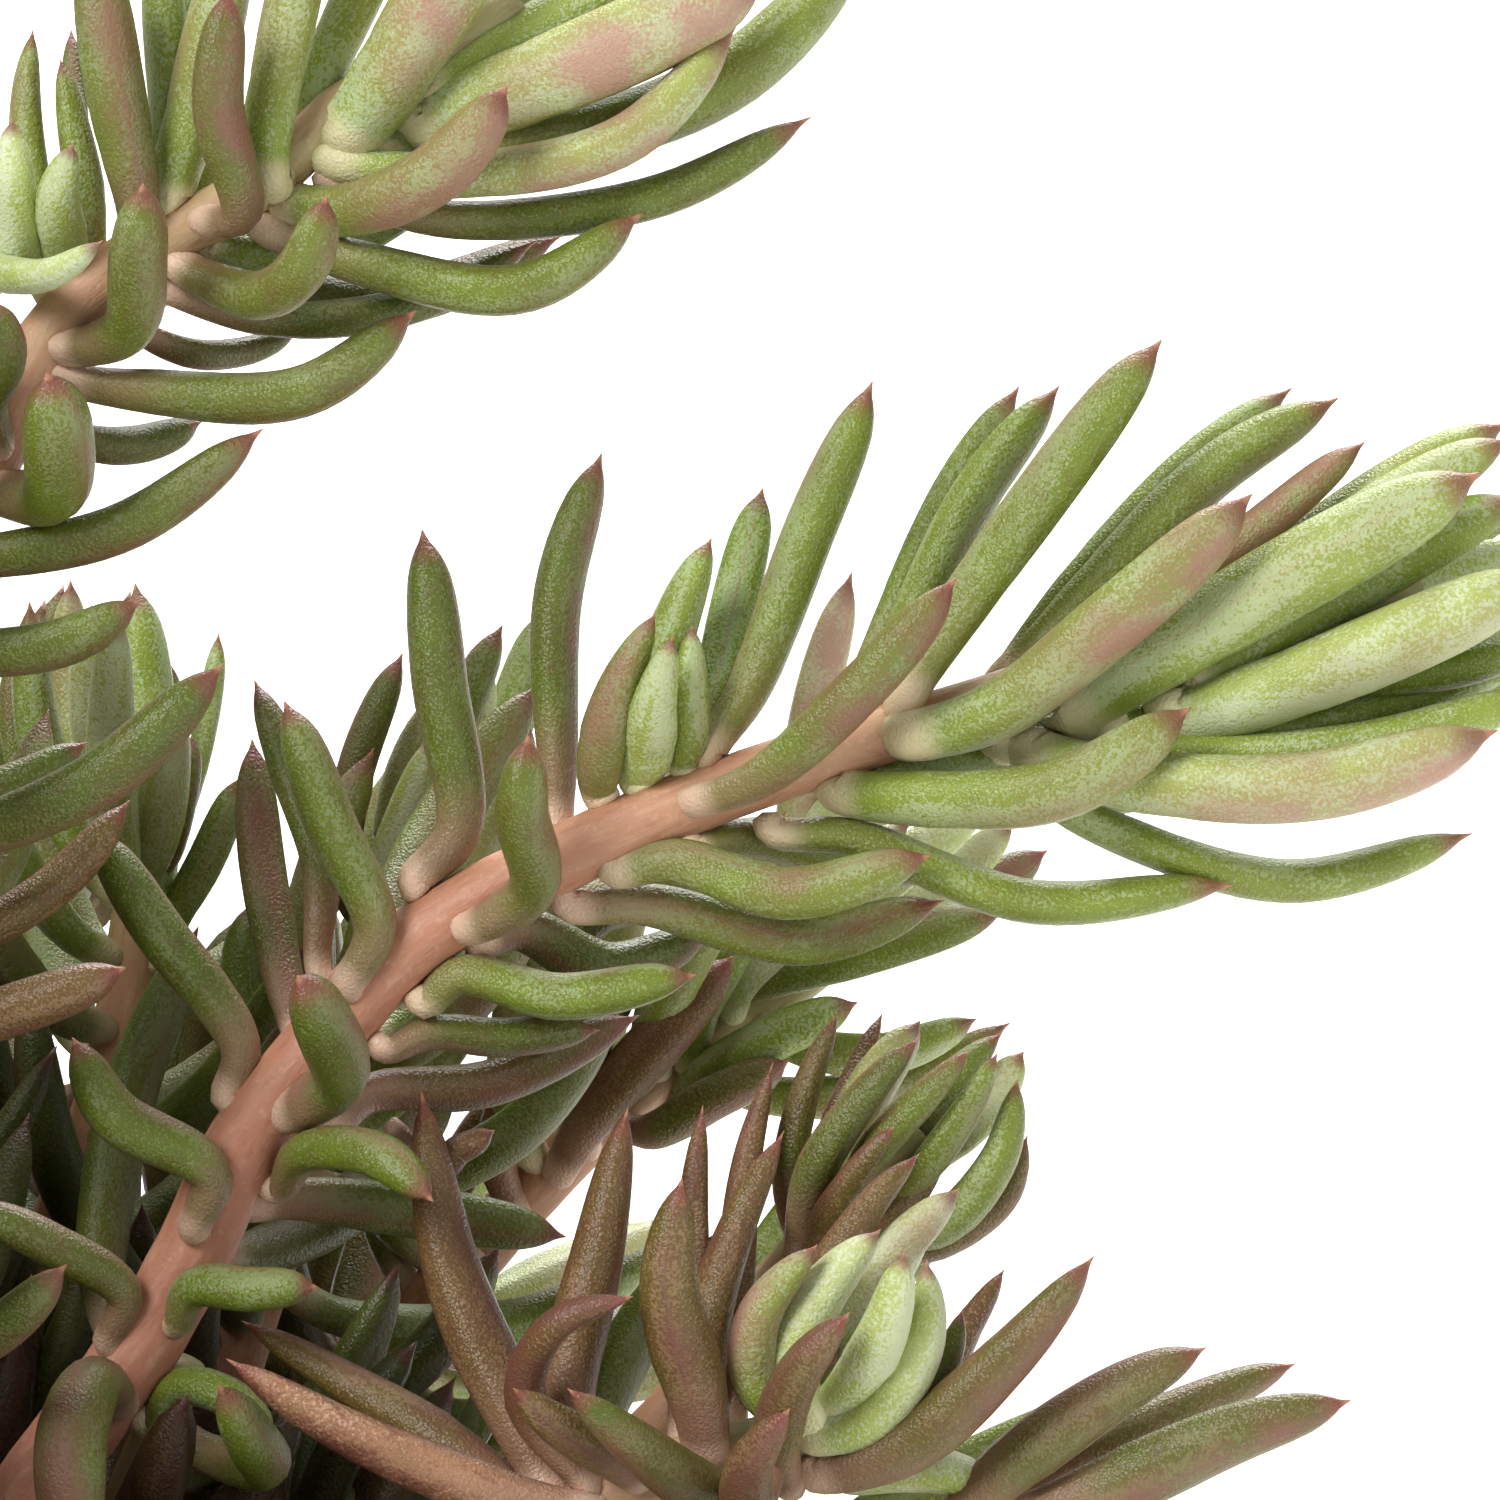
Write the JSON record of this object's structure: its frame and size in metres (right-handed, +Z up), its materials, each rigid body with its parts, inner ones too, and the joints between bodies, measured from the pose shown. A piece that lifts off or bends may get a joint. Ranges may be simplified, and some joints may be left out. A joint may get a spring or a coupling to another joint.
{
  "type": "potted reflexed stonecrop",
  "caption": "Clay flower pot with drainage holes, filled with soil, holding a clump of arching stems clad in slender, fleshy, pointed blue-green leaves.",
  "frame": {"origin": "The centre of the pot's flat base, on the surface it stands on.", "axes": "+Z is up, along the pot's axis. +X is towards the side that the longest arching stem leans to. -Y faces the viewer."},
  "size_m": [0.1672, 0.1433, 0.1707],
  "materials": {
    "clay": "unglazed fired clay, matt",
    "soil": null,
    "leafy_stem": null
  },
  "bodies": {
    "root": {"pot": "clay", "soil": "soil", "main_shoot": "leafy_stem", "upper_shoot": "leafy_stem", "lower_shoot": "leafy_stem", "inner_shoot": "leafy_stem", "side_shoot": "leafy_stem", "back_shoot": "leafy_stem", "left_back_shoot": "leafy_stem", "middle_back_shoot": "leafy_stem", "centre_shoot": "leafy_stem", "rear_shoot_1": "leafy_stem", "rear_shoot_2": "leafy_stem", "left_shoot_1": "leafy_stem", "left_shoot_2": "leafy_stem", "left_shoot_3": "leafy_stem", "left_shoot_4": "leafy_stem", "left_shoot_5": "leafy_stem", "front_shoot_1": "leafy_stem", "front_shoot_2": "leafy_stem", "front_shoot_3": "leafy_stem", "front_shoot_4": "leafy_stem", "right_shoot": "leafy_stem", "short_shoot_1": "leafy_stem", "short_shoot_2": "leafy_stem", "short_shoot_6": "leafy_stem", "short_shoot_7": "leafy_stem", "short_shoot_8": "leafy_stem", "short_shoot_9": "leafy_stem", "short_shoot_12": "leafy_stem", "short_shoot_13": "leafy_stem", "short_shoot_14": "leafy_stem", "short_shoot_15": "leafy_stem", "short_shoot_17": "leafy_stem", "short_shoot_20": "leafy_stem", "short_shoot_22": "leafy_stem", "short_shoot_23": "leafy_stem", "short_shoot_25": "leafy_stem", "short_shoot_26": "leafy_stem", "short_shoot_27": "leafy_stem", "short_shoot_29": "leafy_stem", "short_shoot_31": "leafy_stem", "short_shoot_32": "leafy_stem", "short_shoot_33": "leafy_stem", "short_shoot_37": "leafy_stem", "short_shoot_38": "leafy_stem", "short_shoot_39": "leafy_stem", "short_shoot_40": "leafy_stem", "short_shoot_42": "leafy_stem", "short_shoot_43": "leafy_stem"}
  },
  "joints": []
}
